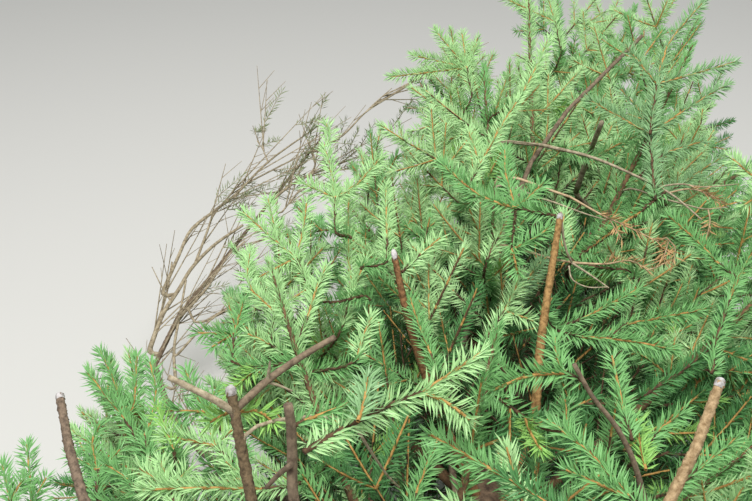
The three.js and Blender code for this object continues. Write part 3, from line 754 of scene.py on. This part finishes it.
def joined_to_limb(point, onward, kind, radius, tone=None):
    """A twig from a bough behind the point, which bends round into the direction in which it goes on."""
    root, along = carrier_of(point, onward)
    away = np.linalg.norm(point - root)
    if away < 0.004:
        return
    handle = 0.45 * away
    share = np.linspace(0, 1, 7)[:, None]
    rest = 1 - share
    arriving = unit(unit(point - root) + 0.7 * onward - 0.3 * LOOK)
    a, b, c, d = root, root + along * handle * 0.6, point - arriving * handle, point
    path = a * rest ** 3 + 3 * b * share * rest ** 2 + 3 * c * share ** 2 * rest + d * share ** 3
    path[:, 2] = np.maximum(path[:, 2], 0.01)
    add_wood(kind, path, radius * 1.2, radius, 4)
    if tone:
        shoots[tone].append((path, -LOOK))
        joins.append(path)


def from_seen(point):
    """How far a point is from the twigs that have been placed so far."""
    return min(np.linalg.norm(path - point, axis=1).min() for path in seen_paths)


def grow_seen_wood():
    for kind, radii, depths, places in SEEN_WOOD:
        (base, end), places = np.array(radii) / 10000, pairs(places)
        points = [seen_at(u, v, depth) for (u, v), depth in zip(places, np.linspace(*depths, len(places)))]
        path = along_route(points, 4 * (len(points) - 1))
        add_wood(kind, path, base, end, 6 if base > 0.002 else 4)
        if kind == "rust":
            shoots["rust"].append((path[len(path) // 3:], OVER))
        keep_clear(path)
        if from_seen(points[0]) > 0.012:
            joined_to_limb(points[0], unit(path[1] - path[0]), kind, base)
        seen_paths.append(path)


def joined_to_dead(point, onward, radius):
    """A dry twig from the nearest dead wood to the point."""
    fine = np.concatenate([resampled(path, 40) for path in [dead_limb, dead_stick, *strands]])
    root = fine[np.linalg.norm(fine - point, axis=1).argmin()]
    away = np.linalg.norm(point - root)
    if away > 0.006:
        bend = point - onward * away * 0.4
        path = along_route([root, mix(root, bend, 0.7) + 0.1 * (bend - root), point], 5)
        add_wood("dead", path, radius * 1.1, radius, 4)


def grow_strands():
    for radii, places in DEAD_STRANDS:
        base, end = np.array(radii) / 10000
        points = [seen_at(u, v, STRAND_DEPTH + STRAND_SLOPE * (STRAND_ROW - v)) for u, v in pairs(places)]
        path = along_route(points, 5 * (len(points) - 1))
        path[:, 2] = np.maximum(path[:, 2], 0.008)
        joined_to_dead(path[0], unit(path[1] - path[0]), base)
        strands.append(path)
        add_wood("dead", path, base, end, 6)


def grow_seen_fans():
    for key, (tone, depth, stem, tips) in enumerate(SEEN_FANS):
        root_row = stem[1]
        stem, *tips = [[seen_at(u, v, depth + SEEN_SLOPE * (root_row - v)) for u, v in pairs(places)]
                       for places in (stem, *tips)]
        path = None
        onward = unit(tips[0][0] - stem[0])
        if len(stem) > 1:
            path = along_route(stem, 3 * (len(stem) - 1))
            add_wood("old", path, SHOOT_RADIUS * (1.3 + 4 * length_of(path)), SHOOT_RADIUS * 1.3, 5)
            shoots[tone].append((path, -LOOK))
            keep_clear(path)
            onward = unit(path[1] - path[0])
        if from_seen(stem[0]) > 0.02:
            joined_to_limb(stem[0], onward, "old", 0.0017, "deep" if tone == "deep" else "green")
        if path is not None:
            seen_paths.append(path)
        for side, tip in enumerate(tips):
            path = along_route([stem[-1], *tip], 5)
            way, flat = unit(path[-1] - path[0]), -LOOK
            flat = unit(flat - way * (flat @ way) + 0.3 * (chance(key, side) - 0.5) * np.cross(way, flat))
            shoot(path, tone, flat, True, 5)
            keep_clear(path)
            seen_paths.append(path)


strands, joins = [], []
grow_strands()
seen_paths = [dead_stick, dead_limb] + [bough.path for bough in boughs if bough.clipped]
grow_seen_wood()
grow_seen_fans()
for bough in boughs:
    if bough.clipped:
        keep_clear(end_of(bough.path, 0.55, 8))
keep_clear(dead_stick[4:])
keep_clear(dead_limb[3:])
kept = np.concatenate(kept_clear)

for owner, bough in enumerate(boughs):
    grow(bough, owner)
for filler in fillers:
    if not hides_a_kept_twig(filler.path[3:], FILLER_CLEAR):
        add_wood("old", filler.path, *FILLER_RADII, 5)
        grow(filler, None)


def grow_join_sprays():
    """Short side twigs along the joins that carry the fans."""
    for key, path in enumerate(joins):
        for k in range(3):
            share = mix(0.3, 0.95, (k + chance(key, k, 8.1)) / 3)
            root, way = point_on(path, share), way_on(path, share)
            out = turned(unit(np.cross(way, LOOK)), way, 360 * chance(key, k, 2.7))
            reach = mix(0.035, 0.060, chance(key, k, 6.2))
            spray(root, unit(0.8 * way + out), unit(np.cross(way, out)), reach, 4, tone_of(root, key + k),
                  500 + key + 0.3 * k)


def grow_leader():
    """The leader, with its side shoots and a last little whorl."""
    base, tip = trunk_point(TRUNK_END), trunk_point(TREE_LENGTH)
    path = np.array([mix(base, tip, s) for s in np.linspace(0, 1, 6)])
    way = unit(tip - base)
    add_wood("new", path, LEADER_RADIUS, 0.0018, 6)
    for flat in (UP, RIGHT, UP + RIGHT, UP - RIGHT):
        shoots["mint"].append((path, unit(flat)))
    twigs = [(base + way * 0.022, radial_of(140 + 90 * k) + way * 0.9, 0.185, 2, 300 + k) for k in range(4)]
    for row in range(3):
        root = mix(base, tip - way * 0.06, (row + 0.7) / 3)
        for k in range(4):
            out = way * 0.75 + 0.66 * radial_of(90 * k + 45 * row + 20)
            twigs.append((root, out, 0.105 - 0.012 * row, 3, 320 + 5 * row + k))
    for root, out, reach, level, key in twigs:
        out = unit(out)
        spray(root, out, unit(np.cross(out, np.cross(out, way))), reach, level, "green", key)


def grow_dead_twigs():
    """The fine dry twigs along the dead limb and its strands: most run on with it, and fork once or twice."""
    for k in range(DEAD_TWIGS):
        carrier = dead_limb if k % 3 == 0 else strands[k % len(strands)]
        share = mix(0.15, 0.95, chance(k, 1.3))
        root, along = point_on(carrier, share), way_on(carrier, share)
        out = unit(np.cross(along, [chance(k, 4.1) - 0.5, chance(k, 5.1) - 0.5, chance(k, 6.1) - 0.2]))
        way = unit(along + out * mix(0.2, 0.8, chance(k, 8.4)))
        length = mix(0.06, 0.22, chance(k, 9.3))
        way = clear_way(root, way, length)
        path = curved(root, way, unit(way + along * 0.6 + 0.2 * out), length, 5)
        if (path[:, 2] > DEAD_TOP).any() or (path[:, 0] < DEAD_LEFT).any():
            continue
        add_wood("dead", path, 0.0014, 0.0005, 3)
        for fork in range(3):
            at = point_on(path, mix(0.25, 0.85, (fork + chance(k, fork)) / 3))
            across = unit(np.cross(way, [chance(k, fork, 2) - 0.5, chance(k, fork, 3) - 0.5, 0.3]))
            branch = unit(way + across * 0.7)
            twig = curved(at, clear_way(at, branch, 0.07), branch, mix(0.02, 0.07, chance(k, fork, 4)), 3)
            if (twig[:, 0] > DEAD_LEFT).all():
                add_wood("dead", twig, 0.0008, 0.0004, 3)
                if root[1] > 1.1 and chance(k, fork, 5) > 0.55:
                    shoots["grey"].append((twig, UP))


grow_join_sprays()
grow_leader()
grow_dead_twigs()


# Meshes from arrays
def frames_along(path):
    """Two directions square to the path, at each of its points."""
    way = unit(np.gradient(path, axis=0))
    side = unit(np.cross(way, UP if abs(way[0][2]) < 0.9 else AXIS))
    return side, np.cross(way, side)


def circles(sides, side, over):
    """The corners of a circle of radius 1 in the plane of two directions, or of one for each pair of them."""
    turn = 2 * math.pi * np.arange(sides)[:, None] / sides
    return np.cos(turn) * side[..., None, :] + np.sin(turn) * over[..., None, :]


def ring_faces(rings, sides):
    """Quads between neighbouring rings of points."""
    index = np.arange(rings * sides).reshape(rings, sides)
    following = np.roll(index, -1, axis=1)
    return np.stack([index[:-1], following[:-1], following[1:], index[1:]], axis=-1).reshape(-1, 4)


def joined(meshes):
    points, faces, start = [], [], 0
    for p, f in meshes:
        points.append(p)
        faces.append(f + start)
        start += len(p)
    return np.concatenate(points), np.concatenate(faces)


def tubes(limbs):
    """One mesh for a list of (path, radii, sides). The thicker twigs are closed at both ends."""
    meshes = []
    for path, radii, sides in limbs:
        side, over = frames_along(path)
        if radii[0] > CLOSED_OVER:
            path, side, over = (np.concatenate([x[:1], x, x[-1:]]) for x in (path, side, over))
            radii = np.concatenate([[POINT_RADIUS], radii, [POINT_RADIUS]])
        ring = path[:, None] + radii[:, None, None] * circles(sides, side, over)
        meshes.append((ring.reshape(-1, 3), ring_faces(len(path), sides)))
    return joined(meshes)


def needle_mesh(runs, density):
    """Folded four-cornered needles, two triangles each: most stand out to both sides in the plane of the
    spray like the teeth of a comb, the rest lean forward over the twig and a few hang below it."""
    parts = []
    for path, flat in runs:
        near = in_picture(path[len(path) // 2])
        per_metre = (NEEDLES_PER_METRE if near else FAR_NEEDLES_PER_METRE) * density
        longer, wider = (1, 1) if near else FAR_NEEDLE_SCALE
        count = max(int(length_of(path) * per_metre), 6)
        share = (np.arange(count) + rng.random(count) * 0.7) / count
        place = share * (len(path) - 1)
        i = np.minimum(place.astype(int), len(path) - 2)
        at = path[i] + (path[i + 1] - path[i]) * (place - i)[:, None]
        along = unit(path[i + 1] - path[i])
        over = unit(flat - along * (along @ flat)[:, None])
        across = np.cross(along, over)
        layer = np.arange(count) % 8
        left = (np.arange(count) % 2) * 180.0
        beside = left + rng.normal(0, 19, count) + np.where(left > 0, -12, 12)
        above, below = rng.uniform(35, 145, count), rng.uniform(195, 345, count)
        turn = np.radians(np.select([layer < 5, layer < 7], [beside, above], below))
        out = np.cos(turn)[:, None] * across + np.sin(turn)[:, None] * over
        towards_tip = np.clip((share - 0.82) / 0.18, 0, 1)
        lean = np.radians(mix(np.where(layer < 5, 58, 46), 22, towards_tip) + rng.normal(0, 6, count))
        way = unit(along * np.cos(lean)[:, None] + out * np.sin(lean)[:, None])
        size = NEEDLE_LENGTH * rng.uniform(0.86, 1.08, count)
        size *= mix(1, 0.78, np.clip((share - 0.9) / 0.1, 0, 1))
        size *= mix(0.75, 1, np.clip(share / 0.12, 0, 1)) * np.where(layer < 5, 1, 0.86)
        side = unit(np.cross(way, over) + 0.45 * rng.normal(0, 1, (count, 3)))
        parts.append((at, way, side, (size * longer)[:, None], np.full((count, 1), NEEDLE_WIDTH * wider)))
    base, way, side, length, width = (np.concatenate(x) for x in zip(*parts))
    side = unit(side - way * (side * way).sum(axis=1)[:, None])
    middle = base + way * length * 0.42 - np.cross(way, side) * width * 0.25
    edge = side * width / 2
    corners = np.stack([base, middle + edge, base + way * length, middle - edge], axis=1)
    corners[..., 2] = np.maximum(corners[..., 2], 0.0008)
    start = 4 * np.arange(len(base))[:, None]
    faces = np.concatenate([start + [0, 1, 2], start + [0, 2, 3]], axis=1).reshape(-1, 3)
    return corners.reshape(-1, 3), faces


def bark_tube(path, radii, seed, around, relief, scale_length):
    """A limb with low scales and ridges pressed into its bark."""
    rows = run_along(path)[:, None] / scale_length
    columns = 2 * math.pi * np.arange(around)[None] / around
    rough = (np.sin(rows * 6.1 + 1.7 * np.sin(columns * 3 + seed))
             * np.sin(columns * 5 + 2.3 * np.sin(rows * 1.7 + seed))
             + 0.6 * np.sin(rows * 13.7 + columns * 7 + seed)
             + 0.5 * np.sin(rows * 3.1 - columns * 9 + 2 * seed))
    rough = rough + 0.5 * np.random.default_rng(seed).normal(0, 1, rough.shape)
    reach = radii[:, None] - relief * (1.2 - 0.5 * rough).clip(0, 2.4)
    ring = path[:, None] + reach[..., None] * circles(around, *frames_along(path))
    return ring.reshape(-1, 3), ring_faces(len(path), around)


def disc(centre, normal, radius, sides):
    """A saw cut: rings of quads out to the edge."""
    side = unit(np.cross(normal, UP))
    circle = circles(sides, side, np.cross(normal, side))
    rings = [centre + radius * share * circle for share in (0.02, 0.5, 1.0)]
    return np.concatenate(rings), ring_faces(len(rings), sides)[:, [0, 3, 2, 1]]


def cut_plane(bough):
    """The plane of a clipped bough's cut: its middle, its normal and the bough's direction there. One cut
    slants towards the camera, the others are square."""
    end, way = bough.path[-1], way_on(bough.path, 1.0)
    if bough.name != "clipped_5":
        return end, way, way
    normal = unit(way - SLANT * unit(LOOK - way * (LOOK @ way)))
    return end - way * wood_radius(bough, 1) * SLANT, normal, way


def cut_off(points, middle, normal, way):
    """Points past the plane of the cut are moved back onto it, along the bough."""
    past = np.maximum((points - middle) @ normal, 0) / (normal @ way)
    return points - past[:, None] * way


def resin_cap(middle, normal, way, radius, seed):
    """The pale end of a clipped bough, under an uneven crust of dried resin."""
    side = unit(np.cross(way, AXIS if abs(way[1]) < 0.9 else UP))
    circle = circles(CAP_SIDES, side, np.cross(way, side))
    rough = np.random.default_rng(seed)
    rises = (-0.0042, -0.0024) if normal @ way > 0.99 else (-0.0012, -0.0008)
    rings = []
    for share, rise in zip((1.00, 1.05, 1.02, 0.84, 0.5, 0.05), (*rises, -0.0004, 0.0012, 0.0021, 0.0024)):
        spot = share * radius * (1 + 0.035 * rough.normal(0, 1, CAP_SIDES))[:, None] * circle
        spot = spot - way * ((spot @ normal) / (normal @ way))[:, None]
        rings.append(middle + spot + way * rise)
    return np.concatenate(rings), ring_faces(len(rings), CAP_SIDES)


# Materials
def linear(colour):
    """A colour as it looks, from 0 to 255, as the linear values that a shader takes."""
    return [((c / 255 + 0.055) / 1.055) ** 2.4 if c > 10 else c / 255 / 12.92 for c in colour] + [1]


def material(name, colour, roughness, specular=0.35):
    made = bpy.data.materials.new(name)
    made.use_nodes = True
    shader = made.node_tree.nodes["Principled BSDF"]
    shader.inputs["Base Color"].default_value = linear(colour)
    shader.inputs["Roughness"].default_value = roughness
    shader.inputs["Specular IOR Level"].default_value = specular
    return made


def bark_material(name, dark, light, grain, roughness, relief):
    """Bark: blotches between two colours, and a bump of a finer grain."""
    made = material(name, light, roughness, 0.25)
    nodes, links = made.node_tree.nodes, made.node_tree.links

    def node(kind, **values):
        added = nodes.new(kind)
        for socket, value in values.items():
            added.inputs[socket].default_value = value
        return added

    place = node("ShaderNodeTexCoord").outputs["Object"]
    blotches = node("ShaderNodeTexNoise", Scale=grain, Detail=5, Roughness=0.65)
    fine = node("ShaderNodeTexNoise", Scale=grain * 4.5, Detail=3)
    bump = node("ShaderNodeBump", Strength=0.7, Distance=relief)
    ramp = node("ShaderNodeValToRGB")
    for end, position, colour in zip(ramp.color_ramp.elements, (0.34, 0.64), (dark, light)):
        end.position = position
        end.color = linear(colour)
    shader = nodes["Principled BSDF"]
    links.new(place, blotches.inputs["Vector"])
    links.new(place, fine.inputs["Vector"])
    links.new(blotches.outputs["Fac"], ramp.inputs["Fac"])
    links.new(ramp.outputs["Color"], shader.inputs["Base Color"])
    links.new(fine.outputs["Fac"], bump.inputs["Height"])
    links.new(bump.outputs["Normal"], shader.inputs["Normal"])
    return made


def add_mesh(name, points, faces, look, smooth=True):
    """A mesh that rides on the tree's one body. Points are in the tree's frame."""
    points = np.asarray(points) + SHIFT
    points[:, 2] = np.maximum(points[:, 2], 0.0003)
    mesh = bpy.data.meshes.new(name)
    mesh.vertices.add(len(points))
    mesh.vertices.foreach_set("co", points.astype(np.float32).ravel())
    mesh.loops.add(faces.size)
    mesh.loops.foreach_set("vertex_index", faces.astype(np.int32).ravel())
    mesh.polygons.add(len(faces))
    mesh.polygons.foreach_set("loop_start", np.arange(0, faces.size, faces.shape[1], dtype=np.int32))
    mesh.polygons.foreach_set("use_smooth", np.full(len(faces), smooth))
    mesh.update(calc_edges=True)
    mesh.materials.append(look)
    made = bpy.data.objects.new(name, mesh)
    bpy.context.scene.collection.objects.link(made)
    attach(made, "root")
    return made


def add_pieces(name, points, faces, look, slot, smooth=True):
    """A mesh cut into pieces that each stay under the most triangles a piece may have."""
    triangles = len(faces) * (faces.shape[1] - 2)
    made = []
    for k, part in enumerate(np.array_split(faces, math.ceil(triangles / MOST_TRIANGLES))):
        used, index = np.unique(part, return_inverse=True)
        piece = add_mesh(f"{name}_{k + 1}", points[used], index.reshape(part.shape), look, smooth)
        made.append(piece)
    return made


# The pieces: needles, twigs, bark, the saw cut and the resin
barks = {name: bark_material(name, *look) for name, look in BARK_LOOKS.items()}
for k, colours in enumerate(CLIPPED_COLOURS, 1):
    barks[f"bark_clipped_{k}"] = bark_material(f"bark_clipped_{k}", *colours, *CLIPPED_LOOK)
needle_pieces = []
for tone, (colour, roughness, density) in NEEDLE_LOOKS.items():
    look = material(f"needles_{tone}", colour, roughness)
    mesh = needle_mesh(shoots[tone], density)
    needle_pieces += add_pieces(f"needles_{tone}", *mesh, look, "needles", False)
for kind, limbs in wood.items():
    add_pieces(f"twigs_{kind}", *tubes(limbs), barks[f"twigs_{kind}"], "bough_bark")

stations = np.linspace(0.0, TRUNK_END, TRUNK_RINGS)
path = np.array([trunk_point(s) for s in stations])
radii = np.array([trunk_radius(s) for s in stations])
trunk_piece = add_mesh("trunk_bark", *bark_tube(path, radii, TRUNK_SEED, *TRUNK_RELIEF), barks["trunk_bark"])
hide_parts("trunk")

limbs, clipped_limbs, caps = [], {}, []
for bough in boughs:
    step, relief = (CLIPPED_STEP, CLIPPED_RELIEF) if bough.clipped else (BOUGH_STEP, BOUGH_RELIEF)
    fine = resampled(bough.path, max(24, int(length_of(bough.path) / step)))
    radii = np.array([wood_radius(bough, s) for s in np.linspace(0, 1, len(fine))])
    points, faces = bark_tube(fine, radii, bough.key, *relief)
    if bough.clipped:
        cut = cut_plane(bough)
        clipped_limbs[bough.name] = (cut_off(points, *cut), faces)
        caps.append(resin_cap(*cut, wood_radius(bough, 1) - CAP_INSET, bough.key))
    else:
        limbs.append((points, faces))
bough_pieces = add_pieces("bough_bark", *joined(limbs), barks["bough_bark"], "bough_bark")
for name, tube in clipped_limbs.items():
    piece = add_pieces(f"bark_{name}", *tube, barks[f"bark_{name}"], "bough_bark")[0]
    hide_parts(f"bough_{name}")

dead = []
for path, radii, seed in zip((dead_limb, dead_stick), (DEAD_LIMB_RADII, DEAD_STICK_RADII), DEAD_SEEDS):
    fine = resampled(path, int(length_of(path) / DEAD_STEP))
    dead.append(bark_tube(fine, np.linspace(*radii, len(fine)), seed, *DEAD_RELIEF))
dead_piece = add_pieces("dead_bark", *joined(dead), barks["twigs_grey"], "dead_wood")[0]
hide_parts("dead_limb_root", "dead_limb_end", "dead_stick")

cut = disc(trunk_point(0) - AXIS * 0.0002, -AXIS, BUTT_RADIUS + BUTT_SWELL - 0.001, 40)
add_pieces("saw_cuts", *cut, barks["cut_wood"], "bark")
add_pieces("resin_caps", *joined(caps), barks["resin"], "bark")

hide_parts(*[f"bough_{b.name}" for b in boughs if b.bare and not b.clipped])
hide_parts("leader", *[f"foliage_{b.name}" for b in boughs])

# Floor, light and camera
scene = bpy.context.scene
floor_mesh = bpy.data.meshes.new("floor")
corners = [(x * FLOOR_HALF, y * FLOOR_HALF, 0) for x, y in ((-1, -1), (1, -1), (1, 1), (-1, 1))]
floor_mesh.from_pydata(corners, [], [(0, 1, 2, 3)])
floor_mesh.materials.append(material("floor", FLOOR_COLOUR, 0.9))
floor = bpy.data.objects.new("floor", floor_mesh)
scene.collection.objects.link(floor)

scene.world = bpy.data.worlds.new("sky")
scene.world.use_nodes = True
background = scene.world.node_tree.nodes["Background"]
background.inputs["Color"].default_value = SKY_COLOUR
background.inputs["Strength"].default_value = SKY_STRENGTH

light_data = bpy.data.lights.new("key", "AREA")
light_data.shape = "DISK"
light_data.size = LIGHT_SIZE
light_data.energy = LIGHT_POWER
light = bpy.data.objects.new("key", light_data)
light.location = LIGHT_AT
light.rotation_euler = (Vector(LIGHT_AIM) - Vector(LIGHT_AT)).to_track_quat("-Z", "Y").to_euler()
scene.collection.objects.link(light)

camera_data = bpy.data.cameras.new("camera")
camera_data.lens = LENS_MM
camera_data.sensor_width = SENSOR_MM
camera_data.clip_start = 0.02
camera = bpy.data.objects.new("camera", camera_data)
axes = Matrix([RIGHT.tolist(), OVER.tolist(), (-LOOK).tolist()]).transposed()
camera.matrix_world = Matrix.Translation(Vector(CAMERA_AT + SHIFT)) @ axes.to_4x4()
scene.collection.objects.link(camera)
scene.camera = camera
scene.view_settings.view_transform = "Standard"
